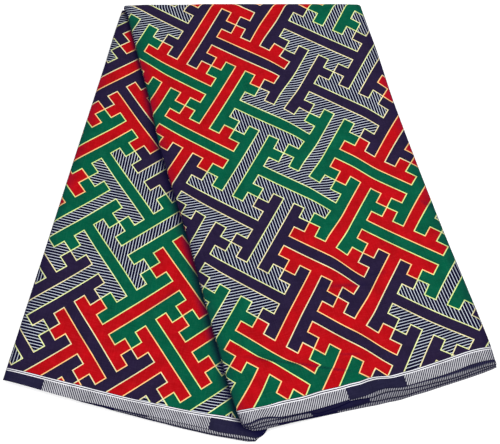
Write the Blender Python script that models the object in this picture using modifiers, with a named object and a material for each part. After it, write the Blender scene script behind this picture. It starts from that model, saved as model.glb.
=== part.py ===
"""A length of wax print cotton, folded lengthwise into a long strip and laid over itself in two fanned legs.

The strip runs up the back leg, turns over at the top and comes down the front leg, which lies
partly on the back leg and partly on the surface beneath.
Metres, +Z up. The origin is on that surface, under the middle of the cloth.
"""

import collections
import math

import bmesh
import bpy
from mathutils import Vector

COLLECTION = "wax_print_fabric"

# The cloth: 115 cm from selvage to selvage, folded along its length until it is 33 cm wide
CLOTH_WIDTH = 1.150
STRIP_WIDTH = 0.330

# Thicknesses: the cloth walls, the hidden layers in each leg, and the clearance between pieces
WALL = 0.0015
HIDDEN = 0.0059
GAP = 0.0003
STACK = HIDDEN + GAP + WALL
LAID_ON = STACK + GAP
HEIGHT = LAID_ON + STACK

# Layered edges: how many ridges the hidden layers show, how deep the groove between two is,
# where a ridge's two edges lie in its thickness, and how much of its reach a corner keeps
RIDGES = 6
RIDGE_PITCH = HIDDEN / RIDGES
RIDGE_EDGES = (0.2, 0.8)
GROOVE = 0.0006
ROUND_CORNER = 0.65

# The top fold is a half turn, whose axis runs along X
TURN_RADIUS = HEIGHT / 2
INNER_TURN_RADIUS = (LAID_ON - HIDDEN) / 2
INNER_TURN_HEIGHT = (LAID_ON + HIDDEN) / 2
FOLD_X = -0.0104
FOLD_SPAN = 0.342
CREST_Y = 0.3018
AXIS_Y = CREST_Y - TURN_RADIUS
TURN_UNDER = 0.012
RISE_LENGTH = 0.012

# Where the legs' long edges turn down over the layers
EDGE_RADIUS = 0.003
EDGE_DROP = STACK - RIDGES / 2 * RIDGE_PITCH - GAP
EDGE_STEPS = 3

# How far the ridges stand out from the hidden layers' flat faces: behind a wall, and below it
BEHIND_WALL = EDGE_RADIUS - WALL - 3 * GAP
BELOW_WALL = EDGE_RADIUS - GAP

# The front leg slopes off the back leg's edge down to the surface beneath
SLOPE_START = 0.028
SLOPE_END = 0.072

# Numbers of sections
ACROSS = 14
TURN_ROWS = 8

BACK_LENGTH = 0.576
MIDDLE_TURN = math.pi * TURN_RADIUS / 2
FRONT_LENGTH = CLOTH_WIDTH - BACK_LENGTH - MIDDLE_TURN

# Each leg: lean from straight down, length along the middle, how much longer the right edge is
# than the left, sideways bow, width of the selvage, number of sections, and two tables from the
# left edge (0) to the right (1): how far the hem wanders, and how far lower layers reach past it
FRONT = {
    "lean": math.radians(16.4),
    "length": FRONT_LENGTH,
    "slant": -0.083,
    "bow": -0.0055,
    "selvage": 0.019,
    "rows": 20,
    "hem": ((0.0, 0.0), (0.4, -0.001), (0.53, -0.002), (0.64, 0.0034), (0.78, 0.004), (1.0, 0.0)),
    "peek": ((0.0, 0.004), (0.1, 0.011), (0.3, 0.015), (0.55, 0.019), (0.7, 0.013), (1.0, 0.008)),
}
BACK = {
    "lean": math.radians(-13.5),
    "length": BACK_LENGTH,
    "slant": 0.0715,
    "bow": 0.0,
    "selvage": 0.0155,
    "rows": 12,
    "hem": ((0.0, 0.0), (0.25, 0.003), (0.5, 0.006), (0.75, 0.006), (1.0, 0.0)),
    "peek": ((0.0, 0.0), (0.25, 0.0015), (0.5, 0.004), (0.9, 0.006), (1.0, 0.003)),
}

# Broad low swells of the front leg: middle x, middle y, reach along, reach across, direction and height
SWELLS = (
    (0.045, -0.205, 0.070, 0.030, math.radians(-12), 0.0022),
    (0.075, 0.130, 0.100, 0.040, math.radians(18), 0.0014),
    (0.170, -0.080, 0.080, 0.040, math.radians(10), 0.0014),
)

COTTON_ROUGHNESS = 0.6
SHARP_ANGLE = math.radians(40)
COLOURS = {
    "print_red": (0.60, 0.012, 0.018),
    "print_green": (0.004, 0.130, 0.062),
    "selvage_navy": (0.020, 0.014, 0.062),
    "layer_edges": (0.110, 0.105, 0.170),
}


def smooth(fraction):
    """Eases from 0 to 1."""
    fraction = min(max(fraction, 0.0), 1.0)
    return fraction * fraction * (3.0 - 2.0 * fraction)


def from_table(table, at):
    """Reads a table of (place, value) rows, eased between its rows."""
    for (left, low), (right, high) in zip(table, table[1:]):
        if at <= right:
            return low + (high - low) * smooth((at - left) / (right - left))
    return table[-1][1]


def down(leg):
    return Vector((math.sin(leg["lean"]), -math.cos(leg["lean"]), 0.0))


def sideways(leg):
    return Vector((math.cos(leg["lean"]), math.sin(leg["lean"]), 0.0))


def length_at(leg, across):
    return leg["length"] + leg["slant"] * (across - 0.5) + from_table(leg["hem"], across)


def on_plan(leg, across, along):
    """Place on the surface beneath: across is 0 at the left to 1, and along 0 at the fold to 1 at the hem."""
    start = Vector((FOLD_X + FOLD_SPAN * (across - 0.5), AXIS_Y, 0.0))
    bow = leg["bow"] * 4.0 * along * (1.0 - along)
    return start + down(leg) * (along * length_at(leg, across)) + sideways(leg) * bow


def swell_at(point):
    """Height that the front leg's swells add at a place."""
    total = 0.0
    for x, y, reach_along, reach_across, direction, height in SWELLS:
        offset = Vector((point.x - x, point.y - y))
        lengthwise = (offset.x * math.cos(direction) + offset.y * math.sin(direction)) / reach_along
        crosswise = (offset.y * math.cos(direction) - offset.x * math.sin(direction)) / reach_across
        total += height * math.exp(-lengthwise * lengthwise - crosswise * crosswise)
    return total


def ground_under_front(point):
    """Height of what the front leg lies on: the back leg, or the surface beneath past its right edge."""
    corner = on_plan(BACK, 1.0, 0.0)
    past_edge = (point - corner).dot(sideways(BACK))
    return LAID_ON * (1.0 - smooth((past_edge - SLOPE_START) / (SLOPE_END - SLOPE_START)))


def wall_top(leg, point):
    """Height of the upper face of a leg's wall."""
    return STACK if leg is BACK else ground_under_front(point) + STACK + swell_at(point)


def edge_stations():
    """Across the strip: (inset from the left edge, drop below the wall's upper face) of the wall's middle."""
    middle_radius = EDGE_RADIUS - WALL / 2
    turned = [(WALL / 2, EDGE_DROP)]
    for step in range(EDGE_STEPS + 1):
        angle = math.pi / 2 * step / EDGE_STEPS
        inset = EDGE_RADIUS - middle_radius * math.cos(angle)
        turned.append((inset, EDGE_RADIUS - middle_radius * math.sin(angle)))
    flat = STRIP_WIDTH - 2 * EDGE_RADIUS
    between = [(EDGE_RADIUS + flat * step / ACROSS, WALL / 2) for step in range(1, ACROSS)]
    return turned + between + [(STRIP_WIDTH - inset, drop) for inset, drop in reversed(turned)]


def add_object(name, mesh, colour):
    """Puts a mesh in the part's collection as a named object with its own material."""
    material = bpy.data.materials.new(name)
    material.use_nodes = True
    shader = material.node_tree.nodes["Principled BSDF"]
    shader.inputs["Base Color"].default_value = (*COLOURS[colour], 1.0)
    shader.inputs["Roughness"].default_value = COTTON_ROUGHNESS
    shader.inputs["Metallic"].default_value = 0.0
    mesh.materials.append(material)
    mesh.shade_smooth()
    mesh.set_sharp_from_angle(angle=SHARP_ANGLE)
    made = bpy.data.objects.new(name, mesh)
    bpy.data.collections[COLLECTION].objects.link(made)
    return made


def add_wall(name, colour, columns, rows, place):
    """A cloth wall: a grid whose points place(column, row) gives, thickened to both sides."""
    mesh = bpy.data.meshes.new(name)
    work = bmesh.new()
    bmesh.ops.create_grid(work, x_segments=columns, y_segments=rows, size=1.0)
    for vertex in work.verts:
        column = round((vertex.co.x + 1.0) / 2.0 * columns)
        row = round((vertex.co.y + 1.0) / 2.0 * rows)
        vertex.co = place(column, row)
    bmesh.ops.triangulate(work, faces=work.faces, quad_method="SHORT_EDGE")
    work.to_mesh(mesh)
    work.free()
    made = add_object(name, mesh, colour)
    wall = made.modifiers.new("cloth", "SOLIDIFY")
    wall.thickness = WALL
    wall.offset = 0.0
    wall.use_even_offset = True
    return made


def add_panel(name, colour, leg, rows, along_at):
    """A leg's wall with its long edges turned down. along_at(row)(across) gives a section's place along."""
    stations = edge_stations()
    sections = [along_at(row) for row in range(rows + 1)]

    def place(column, row):
        inset, drop = stations[column]
        across = inset / STRIP_WIDTH
        point = on_plan(leg, across, sections[row](across))
        return point + Vector((0.0, 0.0, wall_top(leg, point) - drop))

    add_wall(name, colour, len(stations) - 1, rows, place)


def from_hem(leg, distance):
    """A line across a leg at a distance from its hem: its place along, as a function of across."""
    return lambda across: 1.0 - distance / length_at(leg, across)


def from_fold(leg, distance):
    """A line across a leg at a distance from the fold: its place along, as a function of across."""
    return lambda across: distance / length_at(leg, across)


def printed_section(leg, row):
    """A section of a leg's printed panel, from row 0 at the fold to the last at the selvage."""
    first, last = from_fold(leg, 2 * GAP), from_hem(leg, leg["selvage"] + GAP)
    share = row / leg["rows"]
    return lambda across: first(across) * (1.0 - share) + last(across) * share


def add_leg(name, leg, colour):
    """A leg's printed panel from the fold to its selvage, and the selvage."""
    selvage = leg["selvage"]
    add_panel(name + "_panel", colour, leg, leg["rows"], lambda row: printed_section(leg, row))
    add_panel(name + "_selvage", "selvage_navy", leg, 1, lambda row: from_hem(leg, selvage * (1 - row)))


def add_top_fold():
    """The outermost layer's half turn over the top, and its short end beneath."""
    radius = TURN_RADIUS - WALL / 2
    rows = TURN_ROWS + 1

    def place(column, row):
        x = FOLD_X + FOLD_SPAN * (column / ACROSS - 0.5)
        if row == rows:
            return Vector((x, AXIS_Y - TURN_UNDER, WALL / 2))
        angle = math.pi * row / TURN_ROWS
        return Vector((x, AXIS_Y + radius * math.sin(angle), TURN_RADIUS + radius * math.cos(angle)))

    add_wall("top_fold", "print_green", ACROSS, rows, place)


# A section of the hidden layers: its leg and place along or else its turn angle, and the wall beside it
Section = collections.namedtuple("Section", "leg along_at angle beside")


def hidden_sections():
    """Sections from the back leg's hem over the fold to the front leg's hem."""
    back = [from_hem(BACK, EDGE_RADIUS)]
    back += [printed_section(BACK, row) for row in range(BACK["rows"], 0, -1)]
    back += [from_fold(BACK, RISE_LENGTH * part) for part in (2, 1)]
    front = [printed_section(FRONT, row) for row in range(1, FRONT["rows"] + 1)]
    front += [from_hem(FRONT, EDGE_RADIUS)]
    sections = [Section(BACK, along_at, None, BACK) for along_at in back]
    for step in range(TURN_ROWS + 1):
        beside = {0: BACK, TURN_ROWS: FRONT}.get(step)
        sections.append(Section(None, None, math.pi * (1.0 - step / TURN_ROWS), beside))
    return sections + [Section(FRONT, along_at, None, FRONT) for along_at in front]


def turn_faces(angle, across):
    """The inner and outer face of the hidden layers in the half turn, 0 at its top and pi at its bottom."""
    x = FOLD_X + FOLD_SPAN * (across - 0.5)
    rise, reach = math.cos(angle), math.sin(angle)
    radius = TURN_RADIUS - WALL - GAP
    inner = Vector((x, AXIS_Y + INNER_TURN_RADIUS * reach, INNER_TURN_HEIGHT + INNER_TURN_RADIUS * rise))
    return inner, Vector((x, AXIS_Y + radius * reach, TURN_RADIUS + radius * rise))


def hidden_faces(section, column, out=0.0, past=0.0):
    """The inner and outer face of the hidden layers, moved out past the long edge and past the hem.

    The inner face is towards the other leg, and the outer one faces away from it.
    """
    leg = section.leg
    inset = EDGE_RADIUS + (STRIP_WIDTH - 2 * EDGE_RADIUS) * column / ACROSS
    across = (inset + out * {0: -1.0, ACROSS: 1.0}.get(column, 0.0)) / STRIP_WIDTH
    if leg is None:
        return turn_faces(section.angle, across)
    along = section.along_at(across) + past / length_at(leg, across)
    point = on_plan(leg, across, along)
    if leg is BACK:
        past_turn = along * length_at(leg, across) - RISE_LENGTH
        inner_height = HIDDEN
        outer_height = (WALL + GAP) * (1.0 - smooth(past_turn / RISE_LENGTH))
    else:
        inner_height = ground_under_front(point)
        outer_height = wall_top(FRONT, point) - WALL - GAP
    return point + Vector((0.0, 0.0, inner_height)), point + Vector((0.0, 0.0, outer_height))


def rim_profile():
    """Rings round the rim from the inner face to the outer: (share of the thickness, ridge, on a ridge)."""
    rings = []
    for ridge in range(RIDGES):
        rings += [((ridge + edge) / RIDGES, ridge, True) for edge in RIDGE_EDGES]
        rings.append(((ridge + 1.0) / RIDGES, ridge, False))
    return rings[:-1]


def rim_point(section, column, share, ridge, on_ridge, at_hem):
    """A ring's point on the hidden layers' rim."""
    leg, beside = section.leg, section.beside
    deeper = ridge if on_ridge or beside is BACK else ridge + 1
    behind = beside is not None and (leg is None or (deeper < RIDGES / 2) == (leg is BACK))
    out = BEHIND_WALL if behind else BELOW_WALL
    past = 0.0
    if at_hem:
        order = RIDGES - 1 - ridge if leg is FRONT else ridge
        past = BELOW_WALL + from_table(leg["peek"], column / ACROSS) * (order + 1) / RIDGES
    if not on_ridge:
        out -= GROOVE
        past -= GROOVE if at_hem else 0.0
    if at_hem and column in (0, ACROSS):
        out *= ROUND_CORNER
        past *= ROUND_CORNER
    inner, outer = hidden_faces(section, column, out, past)
    point = inner.lerp(outer, share)
    if beside:
        top = STACK if beside is BACK else outer.z + GAP + WALL
        wall_end = top - EDGE_DROP - GAP
        if share < 0.5:
            point.z = inner.z + (wall_end - inner.z) * share * 2.0
        else:
            point.z = wall_end + (outer.z - wall_end) * (share * 2.0 - 1.0)
    return point


def add_hidden_layers():
    """The layers between the walls as one solid, bent over at the fold and ridged all round its rim."""
    sections = hidden_sections()
    last = len(sections) - 1
    work = bmesh.new()
    inner, outer = {}, {}
    for r, section in enumerate(sections):
        for c in range(ACROSS + 1):
            inner[r, c], outer[r, c] = (work.verts.new(point) for point in hidden_faces(section, c))
    for side in (inner, outer):
        for r in range(last):
            for c in range(ACROSS):
                work.faces.new((side[r, c], side[r, c + 1], side[r + 1, c + 1], side[r + 1, c]))
    border = [(0, c) for c in range(ACROSS)] + [(r, ACROSS) for r in range(last)]
    border += [(last, c) for c in range(ACROSS, 0, -1)] + [(r, 0) for r in range(last, 0, -1)]
    rings = [[inner[place] for place in border]]
    for share, ridge, on_ridge in rim_profile():
        ring = [rim_point(sections[r], c, share, ridge, on_ridge, r in (0, last)) for r, c in border]
        rings.append([work.verts.new(point) for point in ring])
    rings.append([outer[place] for place in border])
    for low, high in zip(rings, rings[1:]):
        for k in range(len(border)):
            following = (k + 1) % len(border)
            work.faces.new((low[k], low[following], high[following], high[k]))
    bmesh.ops.triangulate(work, faces=work.faces, quad_method="SHORT_EDGE")
    bmesh.ops.recalc_face_normals(work, faces=work.faces)
    mesh = bpy.data.meshes.new("hidden_layers")
    work.to_mesh(mesh)
    work.free()
    add_object("hidden_layers", mesh, "layer_edges")


def main():
    for old in list(bpy.data.objects):
        bpy.data.objects.remove(old)
    bpy.context.scene.collection.children.link(bpy.data.collections.new(COLLECTION))
    add_leg("front", FRONT, "print_red")
    add_leg("back", BACK, "print_green")
    add_top_fold()
    add_hidden_layers()


main()
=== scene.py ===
import math

import bpy
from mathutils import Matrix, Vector


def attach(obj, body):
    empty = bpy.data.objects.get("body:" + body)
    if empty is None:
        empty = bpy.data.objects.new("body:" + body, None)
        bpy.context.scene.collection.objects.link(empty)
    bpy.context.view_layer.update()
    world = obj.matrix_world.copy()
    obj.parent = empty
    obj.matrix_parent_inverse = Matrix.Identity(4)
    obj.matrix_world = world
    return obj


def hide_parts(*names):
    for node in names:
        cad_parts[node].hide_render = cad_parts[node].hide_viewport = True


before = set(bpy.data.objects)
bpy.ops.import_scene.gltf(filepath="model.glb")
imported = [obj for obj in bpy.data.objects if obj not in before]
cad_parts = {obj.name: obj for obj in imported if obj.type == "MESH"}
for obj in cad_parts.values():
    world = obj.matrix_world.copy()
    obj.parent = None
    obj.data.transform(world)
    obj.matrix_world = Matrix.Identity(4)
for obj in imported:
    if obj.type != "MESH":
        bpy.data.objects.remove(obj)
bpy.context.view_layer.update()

bl_info = {
    "name": "Wax Print Fabric",
    "version": (1, 0, 0),
    "blender": (4, 5, 0),
    "location": "3D View > Sidebar > Wax Print",
    "description": "A length of wax print cotton, folded and laid in two fanned legs",
    "category": "Add Mesh",
}

# The form repeats the part's own numbers, in metres.
# The solids' clearance between pieces, the height of one leg's pile, and how high the front leg's pile starts
GAP = 0.0003
STACK = 0.0077
LAID_ON = 0.0080
# The half turn at the top fold: its radius, the middle and the length of its axis, its crest and its axis
TURN_RADIUS = (LAID_ON + STACK) / 2
FOLD_X = -0.0104
FOLD_SPAN = 0.342
CREST_Y = 0.3018
AXIS_Y = CREST_Y - TURN_RADIUS
# How far the outer cloth goes on beneath the fold, and on what way the layers above it come down to the floor
TURN_UNDER = 0.012
RISE_LENGTH = 0.012
# The fold's rounded corners, and how much lower its left end lies and how much higher its right part
CORNER_RIGHT = 0.0060
CORNER_LEFT = 0.0020
CREST_DROP = 0.0018
CREST_REACH = 0.035
CREST_RISE = 0.0013
CREST_FLAT = 0.085
# The outer cloth's long edges: the radius of their rounding, and how far the cloth is turned down there
EDGE_RADIUS = 0.003
EDGE_DROP = 0.00445
# How far past the back leg's right edge the front leg starts to slope down, and where it reaches the floor
SLOPE_START = 0.028
SLOPE_END = 0.072
# The way along the back cloth from the fold to its hem, and along the front cloth from its hem to its end
# beneath the fold
BACK_LENGTH = 0.576

# Each leg: "lean" from straight down, "slant", how much longer the right edge is than the left, sideways
# "bow", and "hem", how far the solids' hem wanders, from the left edge (0) to the right (1).
# "edges" says how far the hem of the outer cloth, and then of each group of layers beneath, reaches past the
# solids' hem, "band" how far above its hem the outer cloth's selvage ends, and "gap" how wide the painted
# shade in the gap under its hem is. "open" is how light the layers beneath are painted outside that gap.
# "left" and "right" say how far the long edges wander to the right, from the hem (0) to the fold (1).
# "blocks" says where a dark block of the selvage starts in the outer cloth and in each group, and "towards"
# is 1 where it runs to the right from there and -1 where it runs to the left.
# "print" says how the fret lies: its two counts, each as a start, its change for each metre across the strip
# and from the hem, and the higher powers of these, which follow the way the cloth was pulled
FRONT = {
    "lean": math.radians(16.4),
    "slant": -0.083,
    "bow": -0.0055,
    "hem": ((0.0, 0.0), (0.4, -0.001), (0.53, -0.002), (0.64, 0.0034), (0.78, 0.004), (1.0, 0.0)),
    "edges": (
        ((0, 0.0010), (0.03, 0.0011), (0.07, -0.0009), (0.108, 0.0003), (0.143, 0.0037), (0.18, 0.0049),
         (0.257, 0.0060), (0.337, 0.0053), (0.414, 0.0044), (0.455, 0.0049), (0.495, 0.0041),
         (0.537, 0.0023), (0.565, 0.0013), (0.62, 0.0012), (0.69, 0.0002), (0.772, -0.0012),
         (0.854, -0.0024), (0.896, -0.0030), (0.936, -0.0024), (0.976, -0.0013), (1, 0.0002)),
        ((0, 0.0030), (0.026, 0.0058), (0.066, 0.0046), (0.104, 0.0047), (0.14, 0.0058), (0.177, 0.0060),
         (0.214, 0.0065), (0.25, 0.0069), (0.272, 0.0100), (0.3, 0.0106), (0.332, 0.0096), (0.371, 0.0090),
         (0.413, 0.0064), (0.452, 0.0068), (0.489, 0.0090), (0.53, 0.0078), (0.57, 0.0057), (0.608, 0.0048),
         (0.685, 0.0052), (0.764, 0.0049), (0.844, 0.0053), (0.927, 0.0047), (1, 0.0054)),
        ((0, 0.0030), (0.03, 0.0080), (0.1, 0.0089), (0.138, 0.0101), (0.175, 0.0111), (0.213, 0.0120),
         (0.29, 0.0127), (0.37, 0.0131), (0.446, 0.0134), (0.486, 0.0133), (0.523, 0.0149),
         (0.563, 0.0140), (0.601, 0.0122), (0.7, 0.0095), (0.8, 0.0080), (0.9, 0.0078), (1, 0.0070)),
        ((0, 0.0040), (0.03, 0.0108), (0.059, 0.0125), (0.097, 0.0132), (0.174, 0.0137), (0.231, 0.0144),
         (0.289, 0.0152), (0.347, 0.0160), (0.404, 0.0169), (0.462, 0.0182), (0.52, 0.0199),
         (0.578, 0.0183), (0.639, 0.0145), (0.699, 0.0137), (0.76, 0.0120), (0.821, 0.0112),
         (0.945, 0.0113), (1, 0.0096)),
    ),
    "band":
        ((0, 0.0160), (0.047, 0.0149), (0.084, 0.0137), (0.122, 0.0132), (0.161, 0.0137), (0.2, 0.0132),
         (0.237, 0.0125), (0.277, 0.0128), (0.318, 0.0138), (0.396, 0.0135), (0.436, 0.0137),
         (0.475, 0.0131), (0.508, 0.0139), (0.572, 0.0130), (0.591, 0.0135), (0.631, 0.0157),
         (0.671, 0.0160), (0.711, 0.0167), (0.793, 0.0188), (0.876, 0.0195), (0.937, 0.0188), (1, 0.0163)),
    "gap":
        ((0, 0.0028), (0.05, 0.0031), (0.12, 0.0026), (0.2, 0.0022), (0.3, 0.0016), (0.45, 0.0011),
         (0.56, 0.0012), (0.7, 0.0016), (0.82, 0.0036), (0.92, 0.0060), (1, 0.0040)),
    "left":
        ((0, 0.0003), (0.04, -0.0014), (0.13, 0.0000), (0.25, 0.0014), (0.41, 0.0038), (0.54, 0.0022),
         (0.64, 0.0010), (0.76, 0.0041), (0.89, 0.0036), (0.975, 0.0028), (1, 0.0003)),
    "right":
        ((0, -0.0010), (0.05, 0.0014), (0.2, 0.0019), (0.3, 0.0011), (0.45, 0.0007), (0.6, 0.0003),
         (0.75, -0.0004), (0.88, -0.0012), (0.94, -0.0020), (1, -0.0026)),
    "open": 0.66,
    "blocks": (0.1366, 0.0615, 0.0860, 0.0435),
    "towards": 1.0,
    "print": ((3.5635, 8.7145, -8.7556, 1.8398, -0.9705, -1.4748, 11.36, 9.22, -0.32, -0.70,
               -37.20, -18.20, 0.85, 1.15, 3.49),
              (-4.7667, 9.8617, 9.6590, 0.0731, -0.3263, -0.1836, -22.06, 0.48, 2.46, 3.09,
               48.61, 12.96, -10.18, -1.19, -3.05)),
}
BACK = {
    "lean": math.radians(-13.5),
    "slant": 0.0715,
    "bow": 0.0,
    "hem": ((0.0, 0.0), (0.25, 0.003), (0.5, 0.006), (0.75, 0.006), (1.0, 0.0)),
    "edges": (
        ((0, -0.0003), (0.15, 0.0000), (0.2, 0.0004), (0.29, 0.0010), (0.34, -0.0001), (0.4, -0.0013),
         (0.435, -0.0016), (0.53, -0.0018), (0.64, -0.0019), (0.72, -0.0019), (0.79, -0.0014),
         (0.834, 0.0005), (0.907, 0.0013), (0.945, 0.0021), (0.97, 0.0022), (0.982, 0.0004),
         (0.99, -0.0025), (0.996, -0.0062), (1, -0.0100)),
        ((0, -0.0010), (0.15, -0.0006), (0.25, 0.0006), (0.3, 0.0017), (0.36, 0.0016), (0.416, 0.0012),
         (0.474, 0.0010), (0.532, 0.0008), (0.59, 0.0014), (0.647, 0.0018), (0.72, 0.0022), (0.79, 0.0028),
         (0.873, 0.0043), (0.91, 0.0048), (0.95, 0.0052), (0.965, 0.0050), (0.978, 0.0010),
         (0.99, -0.0040), (1, -0.0110)),
        ((0, -0.0014), (0.25, -0.0004), (0.36, 0.0006), (0.416, 0.0015), (0.474, 0.0016), (0.532, 0.0023),
         (0.59, 0.0030), (0.648, 0.0034), (0.705, 0.0034), (0.762, 0.0036), (0.818, 0.0048),
         (0.874, 0.0058), (0.93, 0.0068), (0.956, 0.0066), (0.97, 0.0044), (0.985, -0.0030), (1, -0.0112)),
        ((0, -0.0018), (0.3, -0.0008), (0.5, 0.0006), (0.6, 0.0024), (0.648, 0.0036), (0.705, 0.0040),
         (0.762, 0.0042), (0.818, 0.0053), (0.874, 0.0063), (0.93, 0.0075), (0.956, 0.0073),
         (0.968, 0.0058), (0.976, 0.0030), (0.988, -0.0040), (1, -0.0114)),
    ),
    "band":
        ((0, 0.0157), (0.2, 0.0170), (0.32, 0.0167), (0.42, 0.0172), (0.55, 0.0176), (0.7, 0.0180),
         (0.775, 0.0190), (0.83, 0.0192), (0.887, 0.0177), (1, 0.0150)),
    "gap":
        ((0, 0.0006), (0.29, 0.0006), (0.34, 0.0030), (0.41, 0.0030), (0.425, 0.0007), (0.45, 0.0024),
         (0.56, 0.0024), (0.59, 0.0007), (1, 0.0006)),
    "left":
        ((0, -0.0014), (0.15, -0.0016), (0.3, -0.0018), (0.45, -0.0023), (0.6, -0.0026), (0.85, -0.0028),
         (0.93, -0.0038), (0.97, -0.0036), (1, -0.0034)),
    "right":
        ((0, 0.0000), (1, 0.0000)),
    "open": 0.85,
    "blocks": (0.0492, 0.1436, 0.1950, 0.1500),
    "towards": -1.0,
    "print": ((0.6553, -9.3996, 9.3700, -1.0104, -1.4773, -1.5043, 3.36, 0.75, 1.55, 2.57),
              (3.0422, -9.5489, -9.2387, 3.4601, -0.0004, -2.8410, -8.95, 2.06, -1.01, 1.94)),
}
# The share of the strip's width over which a long edge's wander fades
SIDE_SHARE = 0.12
# Where a gap's shade starts and ends to lift, in widths of the gap, how light its depth is, and a place
# value far out of every gap
GAP_START, GAP_END = 0.6, 1.3
GAP_LIGHT = 0.05
IN_THE_OPEN = 9.0
# Width of the painted shade in the gaps between the deeper layers, and how much of the painted light on one
# group the next one keeps
DEEPER_GAP = 0.0015
DEEPER_LIGHT = 0.86
# The softer shade beside the front leg's left edge: how far it has lifted at the edge itself, its width in
# metres, the share of that width at the fold, where the front leg lies close on the back leg, and the share
# of the way down at which it has its whole width
SHADE_AT_EDGE = 0.11
EDGE_SHADE = 0.0260
SHADE_AT_FOLD = 0.45
SHADE_OPENS = 0.45
# How deep the painted shade is towards the outer cloths' rounded long edges, and over what width
EDGE_DIM = 0.34
EDGE_DIM_REACH = 0.016
# How far from the hem the cloth gives way to reach its own edge, and how far the print follows the band
HEM_REACH = 0.060
BAND_REACH = 0.080
# The selvage's width as it was where "print" was measured, and the highest power in "print"
PRINT_START = 0.0160
PRINT_POWERS = 4
# Where the measured print ends at the fold, and over what distance its way on from there is taken
PRINT_END = 0.550
PRINT_STEP = 0.100

# Broad low swells of the front leg: middle x and y, reach along and across, direction, height
SWELLS = (
    (0.045, -0.205, 0.070, 0.030, math.radians(-12), 0.0022),
    (0.075, 0.130, 0.100, 0.040, math.radians(18), 0.0014),
    (0.170, -0.080, 0.080, 0.040, math.radians(10), 0.0014),
)

# Creases of the front leg: from x, y to x, y, sag of the line, reach uphill and downhill, height, how much
# cloth the crease swallows, and how deep the shade in its pinch is. The first is the tuck where the leg comes
# down off the back leg
CREASES = (
    (-0.020, -0.2010, 0.150, -0.2215, 0.0010, 0.0070, 0.0012, 0.0019, 0.0055, 0.60),
    (0.104, -0.196, 0.142, -0.196, 0.0010, 0.0040, 0.0020, 0.0008, 0.0, 0.30),
    (0.140, -0.095, 0.178, -0.088, 0.0000, 0.0080, 0.0040, 0.0007, 0.0, 0.26),
    (-0.032, -0.098, 0.036, -0.088, 0.0020, 0.0080, 0.0040, 0.0008, 0.0, 0.20),
    (0.030, 0.130, 0.072, 0.142, 0.0020, 0.0120, 0.0060, 0.0007, 0.0, 0.10),
    (-0.082, 0.196, -0.050, 0.262, 0.0030, 0.0100, 0.0060, 0.0006, 0.0, 0.08),
    (-0.047, 0.246, 0.016, 0.204, 0.0020, 0.0110, 0.0050, 0.0006, 0.0, 0.18),
    (0.071, -0.110, 0.166, -0.103, 0.0010, 0.0090, 0.0040, 0.0006, 0.0, 0.34),
    (0.222, 0.011, 0.251, -0.005, 0.0005, 0.0060, 0.0030, 0.0006, 0.0, 0.42),
)
# The back leg's creases, in the same way
BACK_CREASES = (
    (-0.203, 0.063, -0.156, 0.006, 0.0030, 0.0120, 0.0060, 0.0009, 0.0, 0.14),
    (-0.137, -0.143, -0.097, -0.111, 0.0015, 0.0080, 0.0040, 0.0007, 0.0, 0.20),
    (-0.221, -0.155, -0.193, -0.198, 0.0010, 0.0070, 0.0040, 0.0006, 0.0, 0.18),
)
# The share of a crease's length over which it fades in and out
CREASE_EASE = 0.3
# Width of the shade in a crease's pinch: at least this, and this share of the crease's downhill reach
PINCH = 0.0009
PINCH_SHARE = 0.6
# How far to both sides of a crease the cloth gives up what the crease swallows, and where along it that ends
SWALLOW_REACH = 0.070
SWALLOW_END = 0.78

# Spacing of the outer cloths' rows near the hem and above, how far up the fine rows go, the rows in the half
# turn and beneath it, the columns across, and the steps in a rounded long edge
FINE_ROW = 0.0014
COARSE_ROW = 0.0030
FINE_REACH = 0.112
TURN_ROWS = 12
UNDER_ROWS = 4
COLUMNS = 124
EDGE_STEPS = 5
# Rows of the layers between, in each leg and in the half turn, how much closer they lie at the hem, and
# columns
LAYER_LEG_ROWS = 36
LAYER_TURN_ROWS = 10
HEM_CROWDING = 0.6
LAYER_COLUMNS = 36
# How far the layers sink in the middle of the pile, so that their coarser faces stay under the outer cloth,
# and how far from the pile's edges they have sunk
SUNK = 0.0007
SINK_REACH = 0.020
# Clearance between the outer cloth and the layers, and how far the layers' sides stay back from its sides
CLEAR = 0.0001
SIDE_BACK = 0.0006
# A double layer's rounded side: its reach and its steps, and how much of its share of the pile it fills
FOLD_REACH = 0.0012
FOLD_STEPS = 4
FOLD_FILL = 0.94
# Which group of edges each double layer has at the hem, from the top of the pile
LAYER_GROUPS = (1, 1, 2, 2, 2, 3, 3)
# Points closer than this are one point
MERGE = 0.000001

# The fret is drawn on cells of 5 by 5 units. In every second cell the keys stand, in the others they lie.
UNITS = 5
# One cell's real width, and half the width of the yellow lines
CELL = 0.075
LINE_HALF = 0.00064
# The wax lines' tints beside red and striped keys, and beside green and navy ones, and how much of them shows
LINE_TINTS = (("#FFB070", "#D2E8A6"), ("#BCE484", "#DED6B0"))
LINE_TINT = 0.55
# From one stripe of the striped keys to the next, and how much of that is pale
STRIPE = 0.0037347
PALE_SHARE = 0.20
# The selvage's blocks: from one dark block to the next, and the dark block's own length
BLOCK_REPEAT = 0.286
BLOCK_DARK = 0.075
# Hatching: from one line to the next, drawn coarser than the real 1 mm so that it shows, and how far a line
# leans over the selvage's whole width
HATCH_REPEAT = 0.0030
HATCH_SLOPE = 0.0118
# How pale the hatching's gaps and lines look, and how much of the hatching is line
HATCH_INK = (0.022, 0.62)
HATCH_SHARE = 0.45
# The two pale lines, the hatching's upper end and the print's start, in shares of the selvage's width
SELVAGE_LINES = ((0.80, 0.865), (0.935, 1.0))
SELVAGE_HATCHED = 0.80
PRINT_EDGE = 1.04
# A slub's length and width and a patch of the dye
SLUB_LENGTH = 0.012
SLUB_WIDTH = 0.0016
DYE_PATCH = 0.019
# From one thread to the next but one, drawn coarser than real so that it shows, and how high threads stand
# beside slubs
THREAD = 0.0012
THREAD_RELIEF = 0.15
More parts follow.
